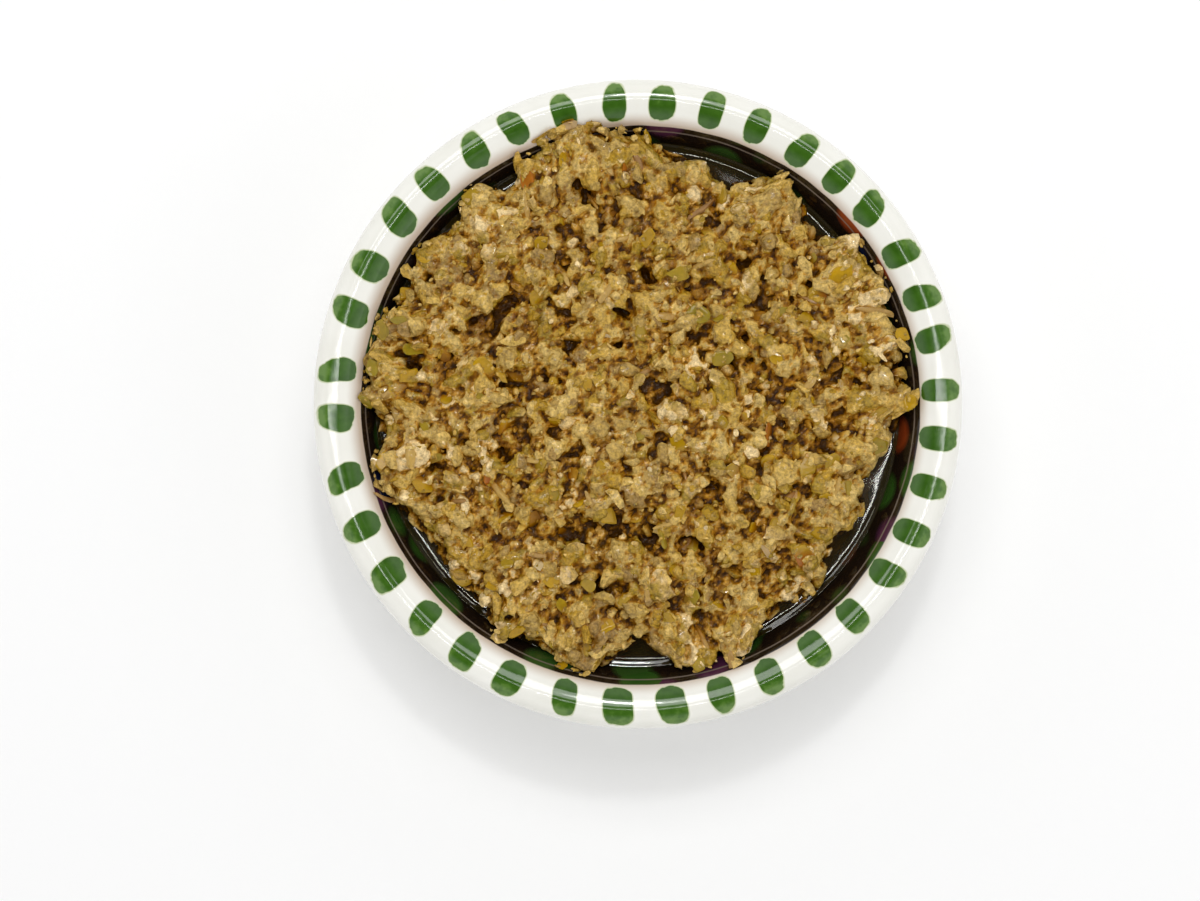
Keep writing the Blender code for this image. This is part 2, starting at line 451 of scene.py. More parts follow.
def dab_masks(tree, place, along_section, bearing):
    """Where the dabs lie, where their thin fringe lies, and how far out along its dab a place is."""
    spaced = swayed(tree, bearing, bearing, *DAB_CROWDING)
    turn = add(tree, "ShaderNodeMath", {0: spaced, 1: FIRST_DAB}, operation="SUBTRACT")
    count = add(tree, "ShaderNodeMath", {0: turn, 1: DAB_COUNT / math.tau}, operation="MULTIPLY")
    nearest = add(tree, "ShaderNodeMath", {0: count}, operation="ROUND")
    number = add(tree, "ShaderNodeMath", {0: nearest, 1: DAB_COUNT}, operation="FLOORED_MODULO")
    chance = add(tree, "ShaderNodeTexWhiteNoise", {"W": number}, noise_dimensions="1D")
    chances = add(tree, "ShaderNodeSeparateColor", {0: chance.outputs["Color"]})
    more = add(tree, "ShaderNodeMath", {0: number, 1: 50}, operation="ADD")
    other = add(tree, "ShaderNodeTexWhiteNoise", {"W": more}, noise_dimensions="1D")

    # Millimetres across and along each dab, from where it is widest.
    beside = add(tree, "ShaderNodeMath", {0: count, 1: nearest}, operation="SUBTRACT")
    across = add(tree, "ShaderNodeMath", {0: beside, 1: LIP_PITCH / MM}, operation="MULTIPLY")
    middle = LIP_START + DAB_INNER_END + DAB_WIDEST * DAB_LENGTH
    out = add(tree, "ShaderNodeMath", {0: along_section, 1: middle}, operation="SUBTRACT")
    outward = add(tree, "ShaderNodeMath", {0: out, 1: 1 / MM}, operation="MULTIPLY")
    uneven = add(tree, "ShaderNodeTexNoise", {"Vector": place, "Scale": DAB_RAGGED_DETAIL, "Detail": 3.5})
    ragged = DAB_RAGGEDNESS / MM
    bulge = add(tree, "ShaderNodeMapRange", {0: uneven.outputs["Fac"], 3: -ragged, 4: ragged})
    outward = add(tree, "ShaderNodeMath", {0: outward, 1: bulge}, operation="ADD")
    outer = add(tree, "ShaderNodeMath", {0: outward, 1: 0}, operation="MAXIMUM")
    inner = add(tree, "ShaderNodeMath", {0: outward, 1: 0}, operation="MINIMUM")

    # The brush lifts off outwards, which leaves a tip, often to one side.
    long = add(tree, "ShaderNodeMapRange", {0: chances.outputs[2], 3: DAB_STRETCH[0], 4: DAB_STRETCH[1]})
    outer_length = (1 - DAB_WIDEST) * DAB_LENGTH / MM
    outer_part = add(tree, "ShaderNodeMath", {0: outer, 1: 1 / outer_length}, operation="MULTIPLY")
    outer_share = add(tree, "ShaderNodeMath", {0: outer_part, 1: long}, operation="DIVIDE")
    inner_length = DAB_WIDEST * DAB_LENGTH
    inner_share = add(tree, "ShaderNodeMath", {0: inner, 1: -MM / inner_length}, operation="MULTIPLY")
    tip = add(tree, "ShaderNodeMapRange", {0: chances, 3: DAB_LEAN[0] / MM, 4: DAB_LEAN[1] / MM})
    tipped = add(tree, "ShaderNodeMath", {0: outer_share, 1: tip, 2: across}, operation="MULTIPLY_ADD")
    off_pitch = add(
        tree, "ShaderNodeMapRange", {0: chance.outputs["Value"], 3: DAB_SHIFT[0] / MM, 4: DAB_SHIFT[1] / MM}
    )
    shifted = add(tree, "ShaderNodeMath", {0: tipped, 1: off_pitch}, operation="ADD")
    narrowest, widest = [half / MM for half in DAB_HALF_WIDTH]
    wide = add(tree, "ShaderNodeMapRange", {0: chances.outputs[1], 3: narrowest, 4: widest})
    side_share = add(tree, "ShaderNodeMath", {0: shifted, 1: wide}, operation="DIVIDE")
    side_size = add(tree, "ShaderNodeMath", {0: side_share}, operation="ABSOLUTE")
    side_power = add(tree, "ShaderNodeMath", {0: side_size, 1: 2.3}, operation="POWER")
    blunt = add(
        tree, "ShaderNodeMapRange", {0: other.outputs["Value"], 3: DAB_BLUNTNESS[0], 4: DAB_BLUNTNESS[1]}
    )
    outer_power = add(tree, "ShaderNodeMath", {0: outer_share, 1: blunt}, operation="POWER")
    inner_power = add(tree, "ShaderNodeMath", {0: inner_share, 1: 3}, operation="POWER")
    ends = add(tree, "ShaderNodeMath", {0: outer_power, 1: inner_power}, operation="ADD")
    shape = add(tree, "ShaderNodeMath", {0: side_power, 1: ends}, operation="ADD")

    # The shape is 1 on a dab's edge. The glaze blurs that edge, and the green bleeds past it.
    dab, fringe = [
        add(tree, "ShaderNodeMapRange", {0: shape, 1: clear, 2: full}, interpolation_type="SMOOTHSTEP")
        for clear, full in ((1.04, 0.92), (1.28, 1.0))
    ]
    return dab, fringe, outer_share


print("a dab every", round(LIP_PITCH / MM, 1), "mm along the lip")

# %% [markdown]
# The glaze's material lays these colours over each other as the potter does: white first, then
# the green dabs on the lip, and the dark paint inside. The painted ring was drawn by hand, so its
# middle isn't quite the bowl's.

# %% The glaze's material
PAINT_EDGE_OFF_CENTRE = (0.76 * MM, -0.37 * MM)
PAINT_EDGE_WAVER = 0.3 * MM
# How far below the lip's start a thin pale line is painted as the highlight of the glaze there.
PAINTED_HIGHLIGHT_LINE = 1.7 * MM
# From the middle of the painted highlight line, where it has faded out and where it is strongest.
PAINTED_HIGHLIGHT_FADE = (0.32 * MM, 0.1 * MM)
# From the lip's start, where the glaze begins to thin and its painted reflection of the dark inside begins,
# and where both are strongest.
THINNING_AND_REFLECTION_BAND = (3.4 * MM, -0.2 * MM)
WHITE_TINTS = [(0.3, "e9e8df"), (0.7, "f1f0e9")]
# The warm brown of thin glaze, made greyer and darker as a painted reflection of the dark inside.
THINNING_AND_REFLECTION_TINT = "c9b9a8"
FRINGE_TINT = "bcc69a"
GREEN_TINTS = [(0.3, "2f5410"), (0.75, "3d641b"), (1.0, "5d7f36")]
LEAF_TINTS = [(0.0, "2a4a18"), (0.5, "7e3414"), (0.62, "442038"), (0.74, "1c2648"), (0.82, "2e4a1c")]
DARK_TINT = "1a120c"
PAINTED_HIGHLIGHT_TINT = "7d7064"
# How often each pattern repeats, from a drift of about 12 mm in the white to the brush's streaks.
CLOUD_DETAIL = 0.08 / MM
LEAF_DETAIL = 0.1 / MM
EDGE_DETAIL = 0.12 / MM
RIPPLE_DETAIL = 0.16 / MM
STREAK_DETAIL = 0.5 / MM
RIPPLE_HEIGHT = 0.3 * MM


def layered(tree, ground, coats):
    """A ground with coats laid over it one after another, each where its mask says."""
    for mask, coat in coats:
        ground = add(tree, "ShaderNodeMix", {0: mask, 6: ground, 7: coat}, data_type="RGBA").outputs[2]
    return ground


def glaze_material():
    """Tin glaze, fired glossy over stoneware: deep sharp reflections that ripple very slightly."""
    material, tree, shader = new_material("tin_glazed_stoneware")
    place = add(tree, "ShaderNodeTexCoord").outputs["Object"]
    axes = add(tree, "ShaderNodeSeparateXYZ", {0: place})
    along_section = add(tree, "ShaderNodeAttribute", attribute_name="along").outputs["Fac"]
    turn = add(tree, "ShaderNodeMath", {0: axes.outputs["Y"], 1: axes.outputs["X"]}, operation="ARCTAN2")
    dab, fringe, dab_share = dab_masks(tree, place, along_section, turn)

    # White glaze, a little warmer where it thins towards the inner edge, and a little darker there as a
    # painted reflection of the dark inside.
    cloud = add(tree, "ShaderNodeTexNoise", {"Vector": place, "Scale": CLOUD_DETAIL, "Detail": 3})
    white = add(tree, "ShaderNodeValToRGB", {0: cloud.outputs["Fac"]}, WHITE_TINTS)
    thin = add(
        tree,
        "ShaderNodeMapRange",
        {0: along_section, 1: LIP_START + THINNING_AND_REFLECTION_BAND[0], 2: LIP_START + THINNING_AND_REFLECTION_BAND[1]},
        interpolation_type="SMOOTHSTEP",
    )
    streaks = add(tree, "ShaderNodeTexNoise", {"Vector": place, "Scale": STREAK_DETAIL, "Detail": 2})
    loaded = add(
        tree, "ShaderNodeMath", {0: dab_share, 1: 0.55, 2: streaks.outputs["Fac"]}, operation="MULTIPLY_ADD"
    )
    green = add(tree, "ShaderNodeValToRGB", {0: loaded}, GREEN_TINTS)

    # The painted inside starts at a hand-drawn edge under the lip.
    edge_noise = add(tree, "ShaderNodeTexNoise", {"Vector": place, "Scale": EDGE_DETAIL, "Detail": 1})
    waver = add(
        tree, "ShaderNodeMapRange", {0: edge_noise.outputs["Fac"], 3: -PAINT_EDGE_WAVER, 4: PAINT_EDGE_WAVER}
    )
    east, north = PAINT_EDGE_OFF_CENTRE
    off_centre = swayed(tree, turn, waver, -east, -north)
    below = add(tree, "ShaderNodeMath", {0: along_section, 1: off_centre}, operation="ADD")
    painted = add(
        tree, "ShaderNodeMapRange", {0: below, 1: LIP_START + 0.1 * MM, 2: LIP_START - 0.15 * MM}
    )
    leaf_cells = add(
        tree, "ShaderNodeTexVoronoi", {"Vector": place, "Scale": LEAF_DETAIL, "Randomness": 0.9}
    )
    leaf_chance = add(tree, "ShaderNodeSeparateColor", {0: leaf_cells.outputs["Color"]})
    leaf_colour = add(tree, "ShaderNodeValToRGB", {0: leaf_chance}, LEAF_TINTS)
    leaf_colour.color_ramp.interpolation = "CONSTANT"
    leaf = add(tree, "ShaderNodeMapRange", {0: leaf_cells.outputs["Distance"], 1: 0.5, 2: 0.36})
    # A thin pale line under the lip, painted as a highlight on the glaze.
    line = add(tree, "ShaderNodeMath", {0: below, 1: LIP_START - PAINTED_HIGHLIGHT_LINE}, operation="SUBTRACT")
    line_size = add(tree, "ShaderNodeMath", {0: line}, operation="ABSOLUTE")
    painted_highlight = add(
        tree,
        "ShaderNodeMapRange",
        {0: line_size, 1: PAINTED_HIGHLIGHT_FADE[0], 2: PAINTED_HIGHLIGHT_FADE[1], 4: 0.75},
    )

    # The coats, in the order that they cover each other.
    lip = layered(tree, white, [(thin, linear(THINNING_AND_REFLECTION_TINT)), (fringe, linear(FRINGE_TINT)), (dab, green)])
    inside = layered(tree, linear(DARK_TINT), [(leaf, leaf_colour), (painted_highlight, linear(PAINTED_HIGHLIGHT_TINT))])
    tree.links.new(layered(tree, lip, [(painted, inside)]), shader.inputs["Base Color"])
    shader.inputs["Roughness"].default_value = 0.09
    shader.inputs["IOR"].default_value = 1.5
    ripple = add(tree, "ShaderNodeTexNoise", {"Vector": place, "Scale": RIPPLE_DETAIL, "Detail": 2})
    bump = add(
        tree, "ShaderNodeBump", {"Height": ripple.outputs["Fac"], "Strength": 0.12, "Distance": RIPPLE_HEIGHT}
    )
    tree.links.new(bump.outputs["Normal"], shader.inputs["Normal"])
    return material


bowl.data.materials.append(glaze_material())
print("glaze", len(bowl.data.materials[0].node_tree.nodes), "nodes")

# %% [markdown]
# ## The heap's core
#
# A core fills the heap, a little inside the imported model's outline, and gives the chopped bits
# something to lie on. It is a square grid of points folded onto a disc, so that its faces are all
# about the same size, with broad hollows and narrow cracks from seeded noise. In the cracks
# between the bits it shows as wet mush, coloured dark partly as painted shade.

# %% The heap in the imported model
EDGE_PROBE = OIL_LEVEL + 3 * MM
REACH_STEPS = 720
heap_mesh = bmesh.new()
heap_mesh.from_mesh(frame["nodes"]["tapenade"].data)
heap_tree = BVHTree.FromBMesh(heap_mesh)
heap_mesh.free()


def heap_height(x, y):
    """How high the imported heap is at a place."""
    hit = heap_tree.ray_cast(Vector((x, y, 1)), Vector((0, 0, -1)))[0]
    return hit.z if hit else OIL_LEVEL


def heap_reach(bearing):
    """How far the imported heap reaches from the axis, just above the oil."""
    out = Vector((math.cos(bearing), math.sin(bearing), 0))
    hit = heap_tree.ray_cast(out * RIM_RADIUS + Vector((0, 0, EDGE_PROBE)), -out)[0]
    return math.hypot(hit.x, hit.y)


def reach_at(table, bearing):
    """The reach that a table made every half degree gives at a bearing."""
    return table[round(bearing / math.tau * REACH_STEPS) % REACH_STEPS]


# The chopped bits and the oil follow the outline as smoothed over two degrees to each side.
reaches = [heap_reach(math.tau * i / REACH_STEPS) for i in range(REACH_STEPS)]
smooth_reaches = np.mean([np.roll(reaches, step) for step in range(-4, 5)], axis=0)
print("heap reaches", round(min(reaches) / MM, 1), "to", round(max(reaches) / MM, 1), "mm")

# %% The core
CORE_STEPS = 150
CORE_INSET = 0.2 * MM
CORE_DROP = 2.8 * MM
EDGE_RISE = 1.3 * MM
CORE_BOTTOM = OIL_LEVEL - 2.5 * MM
# The rings of points below the surface: a skirt that follows the heap's edge, then round ones,
# each with its height and radius, that follow the inside of the bowl.
SKIRT_HEIGHTS = (OIL_LEVEL - 3.2 * MM, OIL_LEVEL - 5 * MM)
SKIRT_INSET = 1.4 * MM
SKIRT_SPREAD = 0.9
SKIRT_WAVE = 0.7 * MM
WALL_GAP = 1.5 * MM
FOOT_RINGS = ((36 * MM, 51 * MM), (27 * MM, 49 * MM), (15 * MM, 38 * MM), (9.5 * MM, 12 * MM))
# What the core's surface is made of, by size: lumps, knobs and grit, then hollows and cracks.
LUMP_SIZE = 6 * MM
KNOB_SIZE = 2.2 * MM
GRIT_SIZE = 0.9 * MM
HOLLOW_SIZE = 11 * MM
HOLLOW_DEPTH = 2.7 * MM
CRACK_DEPTH = 2.6 * MM
CRACK_SPACING = 9 * MM
CRACK_BEND = 2 * MM
CRACK_BEND_SIZE = 4 * MM
CRACKED_PATCH = 7 * MM


def wall_radius(height):
    """How far out the heap may reach at a height, just clear of the bowl's inside."""
    rise = height - (RIM_HEIGHT - LIP_INNER_BEND)
    if rise >= LIP_INNER_BEND:
        return LIP_CREST
    lip_end = lip_point(LIP_INNER_END)
    if height > lip_end[1]:
        return LIP_CREST - math.sqrt(LIP_INNER_BEND**2 - rise**2)
    share = max(0.0, (height - WAIST[1]) / (lip_end[1] - WAIST[1]))
    return flare_point(share)[0]


def disc_place(a, b):
    """Where a point of a square from -1 to 1 lands on a disc: its share of the radius, and bearing."""
    if a == 0 and b == 0:
        return 0, 0
    if abs(a) > abs(b):
        return abs(a), (0 if a > 0 else math.pi) + math.pi / 4 * b / a
    return abs(b), (math.pi / 2 if b > 0 else -math.pi / 2) - math.pi / 4 * a / b


def smoothstep(low, high, value):
    """A value's way from 0 at the low end to 1 at the high one, with a soft start and end."""
    share = min(1.0, max(0.0, (value - low) / (high - low)))
    return share * share * (3 - 2 * share)


def relief(point):
    """How far the mush below the chopped bits stands out at a point."""
    rise = noise.noise(point / LUMP_SIZE) + 0.5 * noise.noise(point / KNOB_SIZE)
    rise -= HOLLOW_DEPTH / MM * hollow(point) + CRACK_DEPTH / MM * crack(point)
    return (rise + 0.25 * noise.noise(point / GRIT_SIZE)) * MM


def hollow(point):
    """How much a point lies in one of the heap's broad low places, from 0 to 1."""
    flat = Vector((point.x, point.y, 0))
    return smoothstep(0.08, 0.45, noise.noise(flat / HOLLOW_SIZE + Vector((7, 3, 0))))


def crack(point):
    """How much a point lies in a gap that the chopped bits leave open, from 0 to 1.

    The gaps run where one noise is near 0, bent by another, and only in some patches.
    """
    flat = Vector((point.x, point.y, 0))
    bent = flat + noise.noise_vector(flat / CRACK_BEND_SIZE) * CRACK_BEND
    ridge = abs(noise.noise(bent / CRACK_SPACING + Vector((2, 9, 0))))
    here = smoothstep(0.02, 0.2, noise.noise(flat / CRACKED_PATCH + Vector((5, 5, 0))))
    return here * (1 - smoothstep(0.035, 0.075, ridge))


def skirt_radius(point, height):
    """How far out the core's edge is at a height below the oil, under a point of its edge."""
    bearing = math.atan2(point[1], point[0])
    spread = reach_at(reaches, bearing) + SKIRT_SPREAD * (OIL_LEVEL - height) - SKIRT_INSET
    wave = SKIRT_WAVE * noise.noise(Vector(point) / (2.5 * MM))
    return min(spread, wall_radius(height) - WALL_GAP) + wave


def core_mesh():
    """The core: a folded grid on top, rings of points below it, and what is open to the oil."""
    points = []
    for row in range(CORE_STEPS + 1):
        for column in range(CORE_STEPS + 1):
            share, bearing = disc_place(2 * column / CORE_STEPS - 1, 2 * row / CORE_STEPS - 1)
            radius = share * (reach_at(reaches, bearing) - CORE_INSET)
            x, y = radius * math.cos(bearing), radius * math.sin(bearing)
            cliff = smoothstep(0.96, 1.0, share)
            top = heap_height(x, y) - CORE_DROP + EDGE_RISE * smoothstep(0.75, 0.93, share)
            z = top + (CORE_BOTTOM - top) * cliff
            points.append((x, y, z + relief(Vector((x, y, z))) * (1 - cliff)))
    side = CORE_STEPS + 1
    faces = []
    for row in range(CORE_STEPS):
        for column in range(CORE_STEPS):
            first = row * side + column
            faces.append((first, first + 1, first + side + 1, first + side))
    edge = list(range(side))
    edge += [row * side + CORE_STEPS for row in range(1, side)]
    edge += [CORE_STEPS * side + column for column in range(CORE_STEPS - 1, -1, -1)]
    edge += [row * side for row in range(CORE_STEPS - 1, 0, -1)]
    for height, radius in [*((height, None) for height in SKIRT_HEIGHTS), *FOOT_RINGS]:
        ring = []
        for i in edge:
            bearing = math.atan2(points[i][1], points[i][0])
            out = radius or skirt_radius(points[i], height)
            ring.append(len(points))
            points.append((out * math.cos(bearing), out * math.sin(bearing), height))
        for i in range(len(edge)):
            j = (i + 1) % len(edge)
            faces.append((edge[j], edge[i], ring[i], ring[j]))
        edge = ring
    faces.append(tuple(reversed(edge)))
    mesh = bpy.data.meshes.new("tapenade_core")
    mesh.from_pydata(points, [], faces)
    mesh.shade_smooth()
    store(mesh, "crack", [crack(Vector(point)) for point in points])
    return mesh


core = new_object("tapenade_core", core_mesh())
print(len(core.data.polygons), "faces in the core")

# %% [markdown]
# ## Chopped bits
#
# A knife leaves bits with flat cut sides and torn edges. Each bit here starts as a ball with
# evenly spread faces, is cut by a few planes, roughened with noise and stretched. A dozen or so of
# each kind is enough, because Geometry Nodes turns and sizes every copy differently. Lumps are for
# the mass below, chunks and small bits lie loose on it, and slices of skin, nuts and strips of
# fibrous flesh are what the eye picks out.

# %% One bit
# For a bit one unit across: half a slice's thickness, and how far from the middle a cut passes.
SLICE_HALF = 0.22
CUT_DISTANCES = (0.2, 0.38)
SHARP_EDGE = math.radians(30)


def chopped_bit(name, seed, stretch, cuts, roughness, detail, flat=False):
    """A bit one unit across: a ball that is cut, roughened and stretched. A flat one is a slice."""
    picker = random.Random(seed)
    planes = []
    if flat:
        planes = [(Vector((0, 0, 1)), SLICE_HALF), (Vector((0, 0, -1)), SLICE_HALF)]
    for _ in range(cuts):
        normal = Vector([picker.gauss(0, 1) for _ in range(3)])
        if flat:
            normal.z *= 0.15
        planes.append((normal.normalized(), picker.uniform(*CUT_DISTANCES)))
    offset = Vector([picker.uniform(0, 50) for _ in range(3)])
    made = bmesh.new()
    bmesh.ops.create_icosphere(made, subdivisions=detail, radius=0.5)
    for vertex in made.verts:
        point = vertex.co.copy()
        for normal, distance in planes:
            beyond = point.dot(normal) - distance
            if beyond > 0:
                point -= normal * beyond
        coarse = noise.noise(point * 3.5 + offset)
        fine = noise.noise(point * 9 + offset)
        point *= 1 + roughness * (coarse + 0.6 * fine)
        vertex.co = Vector([value * factor for value, factor in zip(point, stretch)])
    mesh = finished_mesh(name, made)
    mesh.shade_smooth()
    mesh.set_sharp_from_angle(angle=SHARP_EDGE)
    return bpy.data.objects.new(name, mesh)


def bit_collection(name, count, stretches, cuts, roughness, detail, flat=False):
    """Several bits of one kind, in a collection that the scatter picks from."""
    collection = bpy.data.collections.new(name)
    for i in range(count):
        stretch = stretches[i % len(stretches)]
        seed = 100 * len(name) + i
        collection.objects.link(chopped_bit(f"{name}_{i}", seed, stretch, cuts, roughness, detail, flat))
    return collection


# The proportions that bits of each kind take in turn.
CHUNKY = (
    (1, 0.8, 0.65), (1, 0.9, 0.8), (1.15, 0.7, 0.6),
    (0.9, 0.85, 0.5), (1.3, 0.7, 0.6), (1.5, 0.6, 0.5),
)
FLAT = ((1.1, 0.95, 0.26), (1, 0.8, 0.24), (1.25, 0.75, 0.26))
NUTTY = ((1, 0.7, 0.45), (0.9, 0.75, 0.5), (1.1, 0.55, 0.4))
STRINGY = ((1.4, 0.32, 0.3), (1.6, 0.28, 0.25), (1.2, 0.38, 0.3))

lumps = bit_collection("lump", 12, CHUNKY, cuts=5, roughness=0.32, detail=2)
chunks = bit_collection("chunk", 14, CHUNKY, cuts=9, roughness=0.26, detail=2)
small_bits = bit_collection("bit", 12, CHUNKY, cuts=6, roughness=0.4, detail=2)
slices = bit_collection("slice", 8, FLAT, cuts=5, roughness=0.05, detail=3, flat=True)
nuts = bit_collection("nut", 5, NUTTY, cuts=8, roughness=0.16, detail=3)
strips = bit_collection("strip", 6, STRINGY, cuts=2, roughness=0.2, detail=2)

# %% [markdown]
# ## Scattering them
#
# The scatter is a Geometry Nodes tree with named inputs. It spreads points over a surface, no two
# closer than a spacing, and leaves the cracks and all that is under the oil bare. It moves each
# point up or down a little, places a bit there with its own size and turn, and stores a random
# tint that the bit keeps, which its material reads.

# %% The scatter tree
BARE_BELOW = OIL_LEVEL - 1.5 * MM
SMALL_BIT_BIAS = 1.6


def scatter_tree():
    """The tree that scatters bits; every choice it makes follows from its seed."""
    tree = bpy.data.node_groups.new("scatter_bits", "GeometryNodeTree")
    for name, kind in (
        ("Surface", "NodeSocketGeometry"),
        ("Bits", "NodeSocketCollection"),
        ("Finish", "NodeSocketMaterial"),
        ("Spacing", "NodeSocketFloat"),
        ("Density", "NodeSocketFloat"),
        ("Smallest", "NodeSocketFloat"),
        ("Largest", "NodeSocketFloat"),
        ("Tilt", "NodeSocketFloat"),
        ("Lowest lift", "NodeSocketFloat"),
        ("Highest lift", "NodeSocketFloat"),
        ("Least upward", "NodeSocketFloat"),
        ("Seed", "NodeSocketInt"),
    ):
        tree.interface.new_socket(name=name, in_out="INPUT", socket_type=kind)
    tree.interface.new_socket(name="Pieces", in_out="OUTPUT", socket_type="NodeSocketGeometry")
    given = add(tree, "NodeGroupInput").outputs
    place = add(tree, "GeometryNodeInputPosition")
    height = add(tree, "ShaderNodeSeparateXYZ", {0: place})
    above_oil = add(
        tree, "FunctionNodeCompare", {0: height.outputs["Z"], 1: BARE_BELOW}, operation="GREATER_THAN"
    )
    opened = add(tree, "GeometryNodeInputNamedAttribute", {"Name": "crack"}, data_type="FLOAT")
    filled = add(tree, "FunctionNodeCompare", {0: opened, 1: 0.5}, operation="LESS_THAN")
    open_place = add(tree, "FunctionNodeBooleanMath", {0: above_oil, 1: filled}, operation="AND")
    facing = add(tree, "ShaderNodeSeparateXYZ", {0: add(tree, "GeometryNodeInputNormal")})
    upward = add(
        tree,
        "FunctionNodeCompare",
        {0: facing.outputs["Z"], 1: given["Least upward"]},
        operation="GREATER_THAN",
    )
    taken = add(tree, "FunctionNodeBooleanMath", {0: open_place, 1: upward}, operation="AND")
    spread = add(
        tree,
        "GeometryNodeDistributePointsOnFaces",
        {
            "Mesh": given["Surface"],
            "Selection": taken,
            "Distance Min": given["Spacing"],
            "Density Max": given["Density"],
            "Seed": given["Seed"],
        },
        distribute_method="POISSON",
    )
    tint_seed, turn_seed, lift_seed = [
        add(tree, "ShaderNodeMath", {0: given["Seed"], 1: step}, operation="ADD")
        for step in (1, 2, 3)
    ]

    # Small bits are commoner than large ones.
    chance = add(tree, "FunctionNodeRandomValue", {"Seed": given["Seed"]}, data_type="FLOAT")
    biased = add(tree, "ShaderNodeMath", {0: chance.outputs[1], 1: SMALL_BIT_BIAS}, operation="POWER")
    size = add(tree, "ShaderNodeMapRange", {0: biased, 3: given["Smallest"], 4: given["Largest"]})
    lift = add(
        tree,
        "FunctionNodeRandomValue",
        {2: given["Lowest lift"], 3: given["Highest lift"], "Seed": lift_seed},
        data_type="FLOAT",
    )
    lifting = add(
        tree,
        "ShaderNodeVectorMath",
        {0: spread.outputs["Normal"], "Scale": lift.outputs[1]},
        operation="SCALE",
    )
    lifted = add(
        tree, "GeometryNodeSetPosition", {"Geometry": spread.outputs["Points"], "Offset": lifting}
    )
    tint = add(tree, "FunctionNodeRandomValue", {"Seed": tint_seed}, data_type="FLOAT")
    tinted = add(
        tree,
        "GeometryNodeStoreNamedAttribute",
        {"Geometry": lifted, "Name": "tint", "Value": tint.outputs[1]},
        data_type="FLOAT",
        domain="POINT",
    )

    # A bit tilts either way by up to the tilt, and turns right round.
    back = add(tree, "ShaderNodeMath", {0: given["Tilt"], 1: -1}, operation="MULTIPLY")
    least = add(tree, "ShaderNodeCombineXYZ", {0: back, 1: back, 2: 0.0})
    most = add(tree, "ShaderNodeCombineXYZ", {0: given["Tilt"], 1: given["Tilt"], 2: math.tau})
    turn = add(
        tree, "FunctionNodeRandomValue", {0: least, 1: most, "Seed": turn_seed}, data_type="FLOAT_VECTOR"
    )
    turning = add(tree, "FunctionNodeEulerToRotation", {0: turn})
    turned = add(
        tree,
        "FunctionNodeRotateRotation",
        {"Rotation": spread.outputs["Rotation"], "Rotate By": turning},
        rotation_space="LOCAL",
    )
    bits = add(
        tree,
        "GeometryNodeCollectionInfo",
        {"Collection": given["Bits"], "Separate Children": True, "Reset Children": True},
    )
    placed = add(
        tree,
        "GeometryNodeInstanceOnPoints",
        {
            "Points": tinted,
            "Instance": bits,
            "Pick Instance": True,
            "Rotation": turned,
            "Scale": size,
        },
    )
    real = add(tree, "GeometryNodeRealizeInstances", {"Geometry": placed})
    finished = add(tree, "GeometryNodeSetMaterial", {"Geometry": real, "Material": given["Finish"]})
    add(tree, "NodeGroupOutput", {0: finished})
    return tree


SCATTER = scatter_tree()


def evaluated_mesh(name, obj):
    """The plain mesh of an object with its modifiers, which are then removed."""
    graph = bpy.context.evaluated_depsgraph_get()
    mesh = bpy.data.meshes.new_from_object(
        obj.evaluated_get(graph), preserve_all_data_layers=True, depsgraph=graph
    )
    mesh.name = name
    obj.modifiers.clear()
    return mesh


def scatter(name, surface, **values):
    """Scatters bits over a surface and returns them as one plain mesh object.

    A value's name is an input's name in the tree, with its spaces as underscores.
    """
    modifier = surface.modifiers.new("Scatter", "NODES")
    modifier.node_group = SCATTER
    for item in SCATTER.interface.items_tree:
        asked = item.name.replace(" ", "_")
        if item.in_out == "INPUT" and asked in values:
            modifier[item.identifier] = values[asked]
    piece = new_object(name, evaluated_mesh(name, surface))
    piece.data.materials.clear()
    piece.data.materials.append(values["Finish"])
    piece.data.calc_loop_triangles()
    print(name, len(piece.data.loop_triangles), "triangles")
    return piece


# %% [markdown]
# ## What wet chopped olive looks like
#
# All the bits share one way of shading. The flesh has a body colour that changes from bit to bit
# and drifts across the heap. Fine grain breaks it up. The deeper a place lies, the more the colour
# turns to amber and then brown: partly murky oil in the hollows, partly painted shade. A thin film
# of oil is a clear coat that catches small sharp lights. The coat thins to almost nothing where a
# bit lies deep, because a hollow mirrors the bits round it and not the sky, and a full coat there
# would look like a grey veil.

# %% The finish of wet bits
DRIFT_DETAIL = 0.045 / MM
TINT_DRIFT = 0.16
# Darker and browner with depth: partly oil soaked into the hollows, partly painted shade.
OIL_STAIN_AND_SHADE = [(0.0, "ffffff"), (0.25, "e6cc8c"), (0.6, "b49036"), (0.9, "765a0a"), (1.0, "523c04")]
# How deep a point lies where the film starts to thin and where it is thinnest, and its weights.
FILM_DEPTHS = (0.05, 0.5)
FILM_WEIGHTS = (0.5, 0.05)
OIL_IOR = 1.47
FLESH_IOR = 1.45


